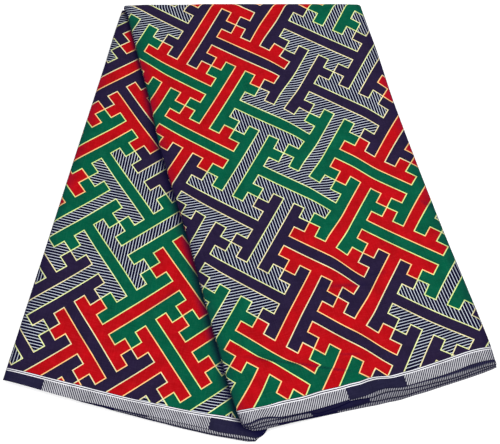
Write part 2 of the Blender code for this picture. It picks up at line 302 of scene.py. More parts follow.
# How much the slubs and the dye change the colour
SLUB_SHARE = 0.24
DYE_SHARE = 0.62
# Where a thick slub starts and ends to show bare yarn, how much it then shows, and its colour
THICK_SLUB = (0.90, 1.40)
BARE_YARN = 0.010
YARN_COLOUR = "#A8A4B4"
# How thick slubs are as a rule, and how rough the waxed cotton is at thin and at thick ones
SLUBS = (0.7, 1.3)
ROUGHNESS = (0.62, 0.78)

# The point on the floor that the camera looks at, the floor's width, and how far it lies beneath the cloth,
# so that no two faces share a plane
TARGET = Vector((-0.0009, -0.0222, 0.0))
FLOOR_SIZE = 12.0
FLOOR_BELOW = 0.0004
# The photo's sheet is lit from beneath too, so that hardly a shadow shows on it
FLOOR_GLOW = 0.15
# The lamps: name, place, side, and share of the key light's power
LAMPS = (("key", (1.0, 0.6, 1.6), 1.2, 1.0), ("soft", (-0.6, -1.25, 1.6), 1.4, 0.8))


def linear(hex_colour):
    """Turns an sRGB hex colour to the linear values that a shader takes."""
    parts = [int(hex_colour[start:start + 2], 16) / 255.0 for start in (1, 3, 5)]
    return [part / 12.92 if part <= 0.04045 else ((part + 0.055) / 1.055) ** 2.4 for part in parts] + [1.0]


def smooth(fraction):
    """Eases from 0 to 1."""
    fraction = min(max(fraction, 0.0), 1.0)
    return fraction * fraction * (3.0 - 2.0 * fraction)


def from_table(table, at):
    """Reads a table of (place, value) rows, eased between its rows."""
    for (left, low), (right, high) in zip(table, table[1:]):
        if at <= right:
            return low + (high - low) * smooth((at - left) / (right - left))
    return table[-1][1]


def flowing(table, at):
    """Reads a table of (place, value) rows along one smooth curve through all of them."""
    last = len(table) - 1
    row = next((k for k in range(last) if at <= table[k + 1][0]), last - 1)
    before, left, right, after = (table[min(max(k, 0), last)] for k in range(row - 1, row + 3))
    span = right[0] - left[0]
    share = min(max((at - left[0]) / span, 0.0), 1.0)
    slope_in = (right[1] - before[1]) / (right[0] - before[0]) * span
    slope_out = (after[1] - left[1]) / (after[0] - left[0]) * span
    rest = 1.0 - share
    return (
        left[1] * rest * rest * (1.0 + 2.0 * share) + right[1] * share * share * (3.0 - 2.0 * share)
        + slope_in * share * rest * rest - slope_out * share * share * rest
    )


def arched(share):
    """Rises from 0 to 1 in the middle and falls to 0 again."""
    return 4.0 * share * (1.0 - share)


def down(leg):
    """Direction of a leg from the fold to its hem."""
    return Vector((math.sin(leg["lean"]), -math.cos(leg["lean"]), 0.0))


def sideways(leg):
    """Direction across a leg, to the right."""
    return Vector((math.cos(leg["lean"]), math.sin(leg["lean"]), 0.0))


def length_at(leg, across):
    """Length of a leg from the fold to its hem."""
    middle = BACK_LENGTH
    if leg is FRONT:
        middle = bpy.context.scene.wax_print_cloth.cloth_width - BACK_LENGTH - math.pi * TURN_RADIUS / 2
    return middle + leg["slant"] * (across - 0.5) + from_table(leg["hem"], across)


def fold_x(across):
    """Place along the fold, where across is 0 at the left edge to 1."""
    return FOLD_X + FOLD_SPAN * (across - 0.5)


def on_plan(leg, across, along):
    """Place on the floor: across is 0 at the left edge to 1, and along 0 at the fold to 1 at the hem."""
    start = Vector((fold_x(across), AXIS_Y, 0.0))
    return start + down(leg) * (along * length_at(leg, across)) + sideways(leg) * (leg["bow"] * arched(along))


def wander(leg, across, share):
    """How far a leg's long edges wander, where share is 0 at the hem and 1 at the fold."""
    left = flowing(leg["left"], share) * (1.0 - smooth(across / SIDE_SHARE))
    right = flowing(leg["right"], share) * (1.0 - smooth((1.0 - across) / SIDE_SHARE))
    return sideways(leg) * (left + right)


def on_leg(leg, group, across, along):
    """Place on the floor of a cloth with that group's own hem, and its distance from the solids' hem."""
    length = length_at(leg, across)
    from_hem = (1.0 - along) * length
    from_hem -= flowing(leg["edges"][group], across) * (1.0 - smooth(from_hem / HEM_REACH))
    along = 1.0 - from_hem / length
    return on_plan(leg, across, along) + wander(leg, across, 1.0 - along), from_hem


def swell_at(point):
    """Height that the front leg's broad swells add at a place."""
    total = 0.0
    for x, y, reach_along, reach_across, direction, height in SWELLS:
        offset = Vector((point.x - x, point.y - y))
        lengthwise = (offset.x * math.cos(direction) + offset.y * math.sin(direction)) / reach_along
        crosswise = (offset.y * math.cos(direction) - offset.x * math.sin(direction)) / reach_across
        total += height * math.exp(-lengthwise * lengthwise - crosswise * crosswise)
    return total


def crease_at(creases, point):
    """Height that a leg's creases add, how far they pull the print towards the hem, and their light."""
    height, pull, light = 0.0, 0.0, 1.0
    for from_x, from_y, to_x, to_y, sag, uphill, downhill, rise, swallowed, shade in creases:
        line = Vector((to_x - from_x, to_y - from_y))
        offset = Vector((point.x - from_x, point.y - from_y))
        along = offset.dot(line) / line.length_squared
        if not 0.0 < along < 1.0:
            continue
        beside = line.cross(offset) / line.length + sag * arched(along)
        share = beside / (uphill if beside > 0.0 else downhill)
        strength = smooth(along / CREASE_EASE) * smooth((1.0 - along) / CREASE_EASE)
        height += rise * strength * math.exp(-share * share)
        side = 0.5 * math.tanh(beside / downhill) * (1.0 - smooth(abs(beside) / SWALLOW_REACH))
        pull += swallowed * side * smooth(along / CREASE_EASE) * smooth((SWALLOW_END - along) / CREASE_EASE)
        pinch = (beside + downhill) / max(PINCH, PINCH_SHARE * downhill)
        light -= shade * strength * math.exp(-pinch * pinch)
    return height, pull, light


def ground_under_front(point):
    """Height of what the front leg lies on: the back leg, or the floor past its right edge."""
    corner = on_plan(BACK, 1.0, 0.0)
    past_edge = (point - corner).dot(sideways(BACK))
    return LAID_ON * (1.0 - smooth((past_edge - SLOPE_START) / (SLOPE_END - SLOPE_START)))


def front_top(point):
    """Height of the upper face of the front leg's pile."""
    return ground_under_front(point) + STACK + swell_at(point)


def turn_share(across):
    """How full the half turn is: it narrows to a rounded corner at the right and a little at the left."""
    x = across * FOLD_SPAN
    right = max(0.0, 1.0 - (FOLD_SPAN - x) / CORNER_RIGHT)
    left = max(0.0, 1.0 - x / CORNER_LEFT)
    dropped = CREST_DROP * (1.0 - smooth(x / CREST_REACH))
    raised = CREST_RISE * smooth((x - CREST_FLAT) / CREST_REACH)
    round_right = CORNER_RIGHT * (1.0 - math.sqrt(1.0 - right * right))
    round_left = CORNER_LEFT * (1.0 - math.sqrt(1.0 - left * left))
    return 1.0 - (round_right + round_left + dropped - raised) / TURN_RADIUS


def cloth_place(leg, group, across, turned, from_hem):
    """Place in the selvage: along it from a dark block's start, and from the hem in widths of the selvage."""
    edge = -flowing(leg["edges"][group], across)
    band = flowing(leg["band"], across) + flowing(leg["edges"][0], across) + edge
    height = (from_hem - edge) / (band - edge)
    run = across * bpy.context.scene.wax_print_cloth.strip_width + turned
    return (run - leg["blocks"][group]) * leg["towards"], height


def shade_place(leg, group, across, from_hem):
    """How far a layer comes out from the hem above it, in widths of the gap, and its light further out."""
    covered = -flowing(leg["edges"][group - 1], across) - from_hem
    gap = from_table(leg["gap"], across) if group == 1 else DEEPER_GAP
    return covered / gap, leg["open"] * DEEPER_LIGHT ** (group - 1)


def edge_light(sizes, inset):
    """The outer cloth's light, which fades towards the rounded long edges of the pile."""
    return 1.0 - EDGE_DIM * (1.0 - smooth(min(inset, sizes.strip_width - inset) / EDGE_DIM_REACH))


def beside_front(point):
    """How far out of the front leg's shade the back leg's cloth is, to the left of the front leg's edge."""
    offset = point - on_plan(FRONT, 0.0, 0.0)
    length = length_at(FRONT, 0.0)
    along = offset.dot(down(FRONT)) / length
    edge = FRONT["bow"] * arched(along) + flowing(FRONT["left"], 1.0 - along)
    past_end = max(0.0, along - 1.0) * length
    clear = edge - offset.dot(sideways(FRONT)) + past_end
    width = EDGE_SHADE * (SHADE_AT_FOLD + (1.0 - SHADE_AT_FOLD) * smooth(along / SHADE_OPENS))
    return GAP_START + SHADE_AT_EDGE + clear / width


def fret_counts(leg, t, h):
    """The fret's two counts at a distance t across the strip and h from the hem."""
    terms = [t ** (power - up) * h ** up for power in range(PRINT_POWERS + 1) for up in range(power + 1)]
    return [sum(factor * term for factor, term in zip(count, terms)) for count in leg["print"]]


def print_place(leg, across, turned, from_hem, pull=0.0, further=0.0):
    """The fret's counts at a place of the cloth, in cells.

    The layers beneath lie further across the cloth, where the print goes on evenly.
    """
    t = across * bpy.context.scene.wax_print_cloth.strip_width + turned
    shift = PRINT_START - flowing(leg["band"], across)
    h = from_hem + shift * (1.0 - smooth(from_hem / BAND_REACH)) + pull
    # Past the fold the print goes on as evenly as it came
    past = max(0.0, h - PRINT_END)
    at_end = fret_counts(leg, t, h - past)
    before = fret_counts(leg, t, h - past - PRINT_STEP)
    return [
        end + (end - earlier) * past / PRINT_STEP + further * count[1]
        for end, earlier, count in zip(at_end, before, leg["print"])
    ]


class WaxPrintCloth(bpy.types.PropertyGroup):
    """Sizes of the cloth and the way it is folded"""

    cloth_width: bpy.props.FloatProperty(
        name="Cloth width",
        description="From selvage to selvage, which is the way from hem over fold to hem",
        default=1.150, unit="LENGTH",
    )
    strip_width: bpy.props.FloatProperty(
        name="Strip width",
        description="Width of the folded strip",
        default=0.330, unit="LENGTH",
    )
    sheet: bpy.props.FloatProperty(
        name="Cloth thickness",
        description="Thickness of the outer cloth, drawn a little thicker than real cotton",
        default=0.00045, unit="LENGTH",
    )
    layer: bpy.props.FloatProperty(
        name="Layer thickness",
        description="Thickness of the cloth of the layers between",
        default=0.00033, unit="LENGTH",
    )
    folds: bpy.props.IntProperty(
        name="Double layers",
        description="Number of folded double layers between the outer cloths",
        default=7, min=1, max=len(LAYER_GROUPS),
    )


class WaxPrintColours(bpy.types.PropertyGroup):
    """Colours of the print and the selvage, and of the painted shade, as sRGB hex values"""

    red: bpy.props.StringProperty(
        name="Red", description="Red keys of the fret", default="#A3060F",
    )
    green: bpy.props.StringProperty(
        name="Green", description="Green keys of the fret", default="#004F38",
    )
    navy: bpy.props.StringProperty(
        name="Navy", description="Dark keys of the fret", default="#201732",
    )
    stripe_pale: bpy.props.StringProperty(
        name="Pale stripe", description="Pale stripes of the striped keys", default="#C4CCD8",
    )
    stripe_dark: bpy.props.StringProperty(
        name="Dark stripe", description="Dark stripes of the striped keys", default="#0A0824",
    )
    outline: bpy.props.StringProperty(
        name="Outline", description="Lines between the keys", default="#DED28C",
    )
    selvage: bpy.props.StringProperty(
        name="Selvage", description="Dark blocks and hatching of the selvage", default="#1D1B33",
    )
    gap: bpy.props.StringProperty(
        name="Gap", description="Deep shade between the layers", default="#08062C",
    )
    selvage_pale: bpy.props.StringProperty(
        name="Selvage lines", description="Pale hatching and lines of the selvage", default="#E2E2E6",
    )


class WaxPrintStage(bpy.types.PropertyGroup):
    """The floor, the lights and the camera"""

    floor: bpy.props.StringProperty(
        name="Floor", description="Colour of the plain floor", default="#FFFFFF",
    )
    tilt: bpy.props.FloatProperty(
        name="Camera tilt",
        description="How far the camera leans back from looking straight down",
        default=math.radians(18), subtype="ANGLE",
    )
    distance: bpy.props.FloatProperty(
        name="Camera distance",
        description="From the camera to the point on the floor that it looks at",
        default=1.134, unit="LENGTH",
    )
    lens: bpy.props.FloatProperty(
        name="Lens",
        description="Focal length in millimetres on a 36 mm sensor",
        default=61.56,
    )
    key_light: bpy.props.FloatProperty(
        name="Key light", description="Power of the soft light from above", default=19.2, unit="POWER",
    )
    fill_light: bpy.props.FloatProperty(
        name="Fill light", description="Brightness of the white room", default=0.80,
    )


def add_node(tree, kind, inputs=(), **settings):
    """Adds a node with its settings and inputs: a node among these stands for its first output in use."""
    node = tree.nodes.new(kind)
    for name, value in settings.items():
        setattr(node, name, value)
    for socket, value in dict(inputs).items():
        if isinstance(value, bpy.types.Node):
            value = next(output for output in value.outputs if output.enabled)
        if isinstance(value, bpy.types.NodeSocket):
            tree.links.new(value, node.inputs[socket])
        else:
            node.inputs[socket].default_value = value
    return node


def fret_group():
    """Which key of the fret owns a place: the counts of that key's own cell."""
    group = bpy.data.node_groups.new("key_fret", "ShaderNodeTree")
    group.interface.new_socket("Place", in_out="INPUT", socket_type="NodeSocketVector")
    group.interface.new_socket("Key", in_out="OUTPUT", socket_type="NodeSocketVector")
    place = add_node(group, "NodeGroupInput").outputs[0]
    cell = add_node(group, "ShaderNodeVectorMath", {0: place}, operation="FLOOR")
    within = add_node(group, "ShaderNodeVectorMath", {0: place}, operation="FRACTION")
    scaled = add_node(group, "ShaderNodeVectorMath", {0: within, "Scale": UNITS}, operation="SCALE")
    floored = add_node(group, "ShaderNodeVectorMath", {0: scaled}, operation="FLOOR")
    middle = (UNITS // 2, UNITS // 2, 0)
    unit = add_node(group, "ShaderNodeVectorMath", {0: floored, 1: middle}, operation="SUBTRACT")
    column, line, _ = add_node(group, "ShaderNodeSeparateXYZ", {0: cell}).outputs
    total = add_node(group, "ShaderNodeMath", {0: column, 1: line})
    lying = add_node(group, "ShaderNodeMath", {0: total, 1: 2.0}, operation="FLOORED_MODULO")
    x, y, _ = add_node(group, "ShaderNodeSeparateXYZ", {0: unit}).outputs
    turned = add_node(group, "ShaderNodeCombineXYZ", {0: y, 1: x})
    upright = add_node(group, "ShaderNodeMix", {0: lying, 4: unit, 5: turned}, data_type="VECTOR")
    across, along, _ = add_node(group, "ShaderNodeSeparateXYZ", {0: upright}).outputs

    # A cell's middle column belongs to its own key and the others to the keys beside it, but for two teeth in
    # each outermost column, which belong to the keys past the cell's corners
    step_across = add_node(group, "ShaderNodeMath", {0: across}, operation="SIGN")
    far = add_node(group, "ShaderNodeMath", {0: across}, operation="ABSOLUTE")
    outer = add_node(group, "ShaderNodeMath", {0: far, 1: 1.5}, operation="GREATER_THAN")
    high = add_node(group, "ShaderNodeMath", {0: along}, operation="ABSOLUTE")
    tooth = add_node(group, "ShaderNodeMath", {0: high, 1: 1.0, 2: 0.5}, operation="COMPARE")
    corner = add_node(group, "ShaderNodeMath", {0: outer, 1: tooth}, operation="MULTIPLY")
    step_along = add_node(group, "ShaderNodeMath", {0: corner, 1: along}, operation="MULTIPLY")
    step = add_node(group, "ShaderNodeCombineXYZ", {0: step_across, 1: step_along})
    step_turned = add_node(group, "ShaderNodeCombineXYZ", {0: step_along, 1: step_across})
    move = add_node(group, "ShaderNodeMix", {0: lying, 4: step, 5: step_turned}, data_type="VECTOR")
    key = add_node(group, "ShaderNodeVectorMath", {0: cell, 1: move}, operation="ADD")
    add_node(group, "NodeGroupOutput", {0: key})
    return group


def fret_print(tree, colours, counts, yarn):
    """The print's colour: the keys of the fret and the waxed lines between them."""
    # A line runs where the four corners round a place aren't in one key
    reach = LINE_HALF / CELL
    fret = fret_group()
    keys = []
    for x, y in ((1, 1), (-1, 1), (1, -1), (-1, -1)):
        moved = add_node(tree, "ShaderNodeVectorMath", {0: counts, 1: (x * reach, y * reach, 0)})
        keys.append(add_node(tree, "ShaderNodeGroup", {0: moved}, node_tree=fret))
    apart = [
        add_node(tree, "ShaderNodeVectorMath", {0: keys[0], 1: key}, operation="DISTANCE") for key in keys[1:]
    ]
    some = add_node(tree, "ShaderNodeMath", {0: apart[0], 1: apart[1]})
    some = add_node(tree, "ShaderNodeMath", {0: some, 1: apart[2]})
    line = add_node(tree, "ShaderNodeMath", {0: some, 1: 0.5}, operation="GREATER_THAN")

    # Standing keys are red or striped and lying ones green or navy, in pairs of rows
    across, up, _ = add_node(tree, "ShaderNodeSeparateXYZ", {0: keys[0]}).outputs
    total = add_node(tree, "ShaderNodeMath", {0: across, 1: up})
    lying = add_node(tree, "ShaderNodeMath", {0: total, 1: 2.0}, operation="FLOORED_MODULO")
    rows = []
    for count in (across, up):
        shifted = add_node(tree, "ShaderNodeMath", {0: count, 1: 1.0})
        wrapped = add_node(tree, "ShaderNodeMath", {0: shifted, 1: 4.0}, operation="FLOORED_MODULO")
        rows.append(add_node(tree, "ShaderNodeMath", {0: wrapped, 1: 1.5}, operation="GREATER_THAN"))

    # The stripes run along the selvage in every second key and across it in the others
    half = add_node(tree, "ShaderNodeMath", {0: total, 1: 4.0}, operation="FLOORED_MODULO")
    crosswise = add_node(tree, "ShaderNodeMath", {0: half, 1: 1.0}, operation="LESS_THAN")
    run = add_node(tree, "ShaderNodeMix", {0: crosswise, 2: yarn[1], 3: yarn[0]}, data_type="FLOAT")
    stripes = add_node(tree, "ShaderNodeMath", {0: run, 1: STRIPE}, operation="DIVIDE")
    wave = add_node(tree, "ShaderNodeMath", {0: stripes}, operation="FRACT")
    pale = add_node(tree, "ShaderNodeMath", {0: wave, 1: 1.0 - PALE_SHARE}, operation="GREATER_THAN")
    dark, light = linear(colours.stripe_dark), linear(colours.stripe_pale)
    striped = add_node(tree, "ShaderNodeMix", {0: pale, 6: dark, 7: light}, data_type="RGBA")

    fills = ((linear(colours.red), striped), (linear(colours.green), linear(colours.navy)))
    tints = [[linear(first), linear(second)] for first, second in LINE_TINTS]
    keyed = []
    for pairs in (fills, tints):
        standing, laid = [
            add_node(tree, "ShaderNodeMix", {0: row, 6: first, 7: second}, data_type="RGBA")
            for row, (first, second) in zip(rows, pairs)
        ]
        keyed.append(add_node(tree, "ShaderNodeMix", {0: lying, 6: standing, 7: laid}, data_type="RGBA"))
    # The wax lines take a little of the dye of the key beside them
    wax = linear(colours.outline)
    waxed = add_node(tree, "ShaderNodeMix", {0: LINE_TINT, 6: wax, 7: keyed[1]}, data_type="RGBA")
    return add_node(tree, "ShaderNodeMix", {0: line, 6: keyed[0], 7: waxed}, data_type="RGBA")


def with_selvage(tree, colours, printed):
    """The dyed cloth: the print, and the selvage's dark and hatched blocks and its two pale lines."""
    cloth = add_node(tree, "ShaderNodeUVMap", uv_map="cloth")
    run, height, _ = add_node(tree, "ShaderNodeSeparateXYZ", {0: cloth}).outputs
    turn = add_node(tree, "ShaderNodeMath", {0: run, 1: BLOCK_REPEAT}, operation="DIVIDE")
    turn = add_node(tree, "ShaderNodeMath", {0: turn}, operation="FRACT")
    dark_share = BLOCK_DARK / BLOCK_REPEAT
    hatched = add_node(tree, "ShaderNodeMath", {0: turn, 1: dark_share}, operation="GREATER_THAN")
    slope = add_node(tree, "ShaderNodeMath", {0: height, 1: -HATCH_SLOPE, 2: run}, operation="MULTIPLY_ADD")
    hatch = add_node(tree, "ShaderNodeMath", {0: slope, 1: HATCH_REPEAT}, operation="DIVIDE")
    hatch = add_node(tree, "ShaderNodeMath", {0: hatch}, operation="FRACT")
    hatch = add_node(tree, "ShaderNodeMath", {0: hatch, 1: 1.0 - HATCH_SHARE}, operation="GREATER_THAN")
    hatch = add_node(tree, "ShaderNodeMapRange", {0: hatch, 3: HATCH_INK[0], 4: HATCH_INK[1]})
    inked = add_node(tree, "ShaderNodeMath", {0: hatched, 1: hatch}, operation="MULTIPLY")
    beneath = add_node(tree, "ShaderNodeMath", {0: height, 1: SELVAGE_HATCHED}, operation="LESS_THAN")
    inked = add_node(tree, "ShaderNodeMath", {0: inked, 1: beneath}, operation="MULTIPLY")
    for low, high in SELVAGE_LINES:
        above = add_node(tree, "ShaderNodeMath", {0: height, 1: low}, operation="GREATER_THAN")
        below = add_node(tree, "ShaderNodeMath", {0: height, 1: high}, operation="LESS_THAN")
        ruled = add_node(tree, "ShaderNodeMath", {0: above, 1: below}, operation="MULTIPLY")
        inked = add_node(tree, "ShaderNodeMath", {0: inked, 1: ruled}, operation="MAXIMUM")
    dark, light = linear(colours.selvage), linear(colours.selvage_pale)
    band = add_node(tree, "ShaderNodeMix", {0: inked, 6: dark, 7: light}, data_type="RGBA")
    on_print = add_node(tree, "ShaderNodeMath", {0: height, 1: PRINT_EDGE}, operation="GREATER_THAN")
    return add_node(tree, "ShaderNodeMix", {0: on_print, 6: band, 7: printed}, data_type="RGBA")


def in_shade(tree, colours, dyed):
    """The cloth's light and its colour in it: deep shade in the gaps, and dimmer light on the layers."""
    gaps = add_node(tree, "ShaderNodeUVMap", uv_map="gaps")
    place, open_light, _ = add_node(tree, "ShaderNodeSeparateXYZ", {0: gaps}).outputs
    light = add_node(
        tree, "ShaderNodeMapRange", {0: place, 1: GAP_START, 2: GAP_END, 3: GAP_LIGHT, 4: open_light},
        interpolation_type="SMOOTHSTEP",
    )
    gap = linear(colours.gap)
    return light, add_node(tree, "ShaderNodeMix", {0: light, 6: gap, 7: dyed}, data_type="RGBA")


def wax_print_cotton(colours):
    """Smooth waxed and printed cotton: crisp flat colours, a slight sheen and a fine slubbed weave."""
    material = bpy.data.materials.new("wax_print_cotton")
    material.use_nodes = True
    tree = material.node_tree
    tree.nodes.clear()
    counts = add_node(tree, "ShaderNodeUVMap", uv_map="print")
    x, y, _ = add_node(tree, "ShaderNodeSeparateXYZ", {0: counts}).outputs
    # Places along and across the yarn in metres: it runs along the diagonals of the fret's cells
    scale = CELL / math.sqrt(2.0)
    yarn = []
    for sign in ("ADD", "SUBTRACT"):
        diagonal = add_node(tree, "ShaderNodeMath", {0: x, 1: y}, operation=sign)
        yarn.append(add_node(tree, "ShaderNodeMath", {0: diagonal, 1: scale}, operation="MULTIPLY"))
    dyed = with_selvage(tree, colours, fret_print(tree, colours, counts, yarn))
    light, shaded = in_shade(tree, colours, dyed)

    # Slubs of the yarn along and across the cloth, and a slow unevenness of the dye
    place = add_node(tree, "ShaderNodeCombineXYZ", {0: yarn[0], 1: yarn[1]})
    slubs = []
    for wide, tall in ((SLUB_LENGTH, SLUB_WIDTH), (SLUB_WIDTH, SLUB_LENGTH)):
        sizes = (1.0 / wide, 1.0 / tall, 0.0)
        drawn = add_node(tree, "ShaderNodeVectorMath", {0: place, 1: sizes}, operation="MULTIPLY")
        slubs.append(add_node(tree, "ShaderNodeTexNoise", {"Vector": drawn, "Scale": 1.0, "Detail": 1.0}))
    slub = add_node(tree, "ShaderNodeMath", {0: slubs[0], 1: slubs[1]})
    dye = add_node(tree, "ShaderNodeTexNoise", {"Vector": place, "Scale": 1.0 / DYE_PATCH, "Detail": 2.0})
    even = 1.0 - SLUB_SHARE - DYE_SHARE / 2
    value = add_node(tree, "ShaderNodeMath", {0: slub, 1: SLUB_SHARE, 2: even}, operation="MULTIPLY_ADD")
    value = add_node(tree, "ShaderNodeMath", {0: dye, 1: DYE_SHARE, 2: value}, operation="MULTIPLY_ADD")
    uneven = add_node(tree, "ShaderNodeHueSaturation", {"Value": value, "Color": shaded})
    # Undyed yarn shows faintly at the thick slubs, most of all on the dark keys
    bare = add_node(tree, "ShaderNodeMapRange", {0: slub, 1: THICK_SLUB[0], 2: THICK_SLUB[1], 4: BARE_YARN})
    bare = add_node(tree, "ShaderNodeMath", {0: bare, 1: light}, operation="MULTIPLY")
    tinted = add_node(tree, "ShaderNodeMix", {0: bare, 6: uneven, 7: linear(YARN_COLOUR)}, data_type="RGBA")

    # The threads' fine relief, and the slubs' own
    threads = []
    for each in yarn:
        angle = add_node(tree, "ShaderNodeMath", {0: each, 1: math.tau / THREAD}, operation="MULTIPLY")
        threads.append(add_node(tree, "ShaderNodeMath", {0: angle}, operation="SINE"))
    weave = add_node(tree, "ShaderNodeMath", {0: threads[0], 1: threads[1]}, operation="MULTIPLY")
    relief = add_node(tree, "ShaderNodeMath", {0: weave, 1: THREAD_RELIEF, 2: slub}, operation="MULTIPLY_ADD")
    bump = add_node(tree, "ShaderNodeBump", {"Strength": 0.5, "Distance": 0.00025, "Height": relief})
    ends = {1: SLUBS[0], 2: SLUBS[1], 3: ROUGHNESS[0], 4: ROUGHNESS[1]}
    roughness = add_node(tree, "ShaderNodeMapRange", {0: slub, **ends})

    shader = add_node(tree, "ShaderNodeBsdfPrincipled", {
        "Base Color": tinted,
        "Roughness": roughness,
        "Normal": bump,
        "IOR": 1.45,
        "Specular IOR Level": 0.03,
        "Sheen Weight": 0.01,
        "Sheen Roughness": 0.4,
    })
    add_node(tree, "ShaderNodeOutputMaterial", {"Surface": shader})
    return material


def shared_cotton():
    """The one printed cotton that all the pieces are cut from."""
    found = bpy.data.materials.get("wax_print_cotton")
    return found or wax_print_cotton(bpy.context.scene.wax_print_colours)


def add_sheet(name, columns, rows, place):
    """A sheet of the cotton, from a grid: place(column, row) gives a point and its values in the UV maps."""
    bpy.ops.object.select_all(action="DESELECT")
    bpy.ops.mesh.primitive_grid_add(x_subdivisions=columns, y_subdivisions=rows, size=2.0, calc_uvs=False)
    sheet = bpy.context.object
    sheet.name = name
    mesh = sheet.data
    mesh.name = name
    places = []
    for vertex in mesh.vertices:
        column = round((vertex.co.x + 1.0) / 2.0 * columns)
        row = round((vertex.co.y + 1.0) / 2.0 * rows)
        vertex.co, *on_cloth = place(column, row)
        places.append(on_cloth)
    for which, uv_name in enumerate(("cloth", "print", "gaps")):
        layer = mesh.uv_layers.new(name=uv_name)
        values = [value for loop in mesh.loops for value in places[loop.vertex_index][which]]
        layer.uv.foreach_set("vector", values)
    mesh.materials.append(shared_cotton())
    bpy.ops.object.shade_smooth()
    return sheet


def thicken(sheet, thickness):
    """Gives a sheet its thickness, inward from its face."""
    wall = sheet.modifiers.new("thickness", "SOLIDIFY")
    wall.thickness = thickness
    wall.offset = -1.0
    wall.use_even_offset = True


def edge_stations(width):
    """Stations across the strip: inset from its left edge, drop below its top, and cloth turned down."""
    turned = [(0.0, EDGE_DROP), (0.0, (EDGE_DROP + EDGE_RADIUS) / 2)]
    for step in range(EDGE_STEPS + 1):
        angle = math.pi / 2 * step / EDGE_STEPS
        turned.append((EDGE_RADIUS * (1.0 - math.cos(angle)), EDGE_RADIUS * (1.0 - math.sin(angle))))
    flat = width - 2 * EDGE_RADIUS
    between = [(EDGE_RADIUS + flat * step / COLUMNS, 0.0) for step in range(1, COLUMNS)]
    stations = turned + between + [(width - inset, drop) for inset, drop in reversed(turned)]
    return [(inset, drop, math.copysign(drop, inset - width / 2)) for inset, drop in stations]


def leg_rows(length):
    """Distances from the hem to the fold, closer together near the hem, where the creases are."""
    rows = [FINE_ROW * step for step in range(int(FINE_REACH / FINE_ROW))]
    coarse = round((length - FINE_REACH) / COARSE_ROW)
    return rows + [FINE_REACH + (length - FINE_REACH) * step / coarse for step in range(coarse + 1)]


class WAXPRINT_OT_front_cloth(bpy.types.Operator):
    """The front leg's upper cloth, from its selvage up over the top fold"""

    bl_idname = "wax_print.front_cloth"
    bl_label = "Front Cloth"

    def execute(self, context):
        sizes = context.scene.wax_print_cloth
        stations = edge_stations(sizes.strip_width)
        rows = leg_rows(length_at(FRONT, 0.5))
        last = len(rows) - 1

        def place(column, row):
            inset, drop, turned = stations[column]
            across = inset / sizes.strip_width
            length = length_at(FRONT, across)
            pull, light = 0.0, 1.0
            if row <= last:
                point, from_hem = on_leg(FRONT, 0, across, 1.0 - rows[row] / rows[last])
                relief, pull, light = crease_at(CREASES, point)
                point.z = front_top(point) - drop + relief
            elif row <= last + TURN_ROWS:
                angle = math.pi * (row - last) / TURN_ROWS
                radius = TURN_RADIUS - drop
                reach = radius * math.sin(angle) * turn_share(across)
                point = Vector((fold_x(across), AXIS_Y + reach, TURN_RADIUS + radius * math.cos(angle)))
                point += wander(FRONT, across, 1.0)
                from_hem = length + TURN_RADIUS * angle
            else:
                reach = TURN_UNDER * (row - last - TURN_ROWS) / UNDER_ROWS
                point = Vector((fold_x(across), AXIS_Y - reach, drop)) + wander(FRONT, across, 1.0)
                from_hem = length + TURN_RADIUS * math.pi + reach
            return (
                point,
                cloth_place(FRONT, 0, across, turned, from_hem),
                print_place(FRONT, across, turned, from_hem, pull),
                (IN_THE_OPEN, light * edge_light(sizes, inset)),
            )

        cloth = add_sheet("front_cloth", len(stations) - 1, last + TURN_ROWS + UNDER_ROWS, place)
        thicken(cloth, sizes.sheet)
        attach(cloth, "root")
        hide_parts("front_panel", "front_selvage", "top_fold")
        return {"FINISHED"}


class WAXPRINT_OT_back_cloth(bpy.types.Operator):
    """The back leg's upper cloth, from its selvage up to the inside of the top fold"""

    bl_idname = "wax_print.back_cloth"
    bl_label = "Back Cloth"

    def execute(self, context):
        sizes = context.scene.wax_print_cloth
        stations = edge_stations(sizes.strip_width)
        rows = leg_rows(length_at(BACK, 0.5))

        def place(column, row):
            inset, drop, turned = stations[column]
            across = inset / sizes.strip_width
            # The cloth stays clear of the fold by two of the solids' clearances
            along = 1.0 - rows[row] / rows[-1] * (1.0 - 2 * GAP / length_at(BACK, across))
            point, from_hem = on_leg(BACK, 0, across, along)
            relief, pull, light = crease_at(BACK_CREASES, point)
            point.z = STACK - drop + relief
            return (
                point,
                cloth_place(BACK, 0, across, turned, from_hem),
                print_place(BACK, across, turned, from_hem, pull),
                (beside_front(point), light * edge_light(sizes, inset)),
            )

        cloth = add_sheet("back_cloth", len(stations) - 1, len(rows) - 1, place)
        thicken(cloth, sizes.sheet)
        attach(cloth, "root")
        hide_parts("back_panel", "back_selvage")
        return {"FINISHED"}


def layer_share(share):
    """Moves the layers' rows closer together towards the hem."""
    return share + HEM_CROWDING * share * (1.0 - share)


def layer_section(row):
    """A section of the layers: its leg and share of the way from the fold, or None and the turn's angle."""
    if row < LAYER_LEG_ROWS:
        return BACK, layer_share(1.0 - row / LAYER_LEG_ROWS)
    if row <= LAYER_LEG_ROWS + LAYER_TURN_ROWS:
        return None, math.pi * (1.0 - (row - LAYER_LEG_ROWS) / LAYER_TURN_ROWS)
    return FRONT, layer_share((row - LAYER_LEG_ROWS - LAYER_TURN_ROWS) / LAYER_LEG_ROWS)


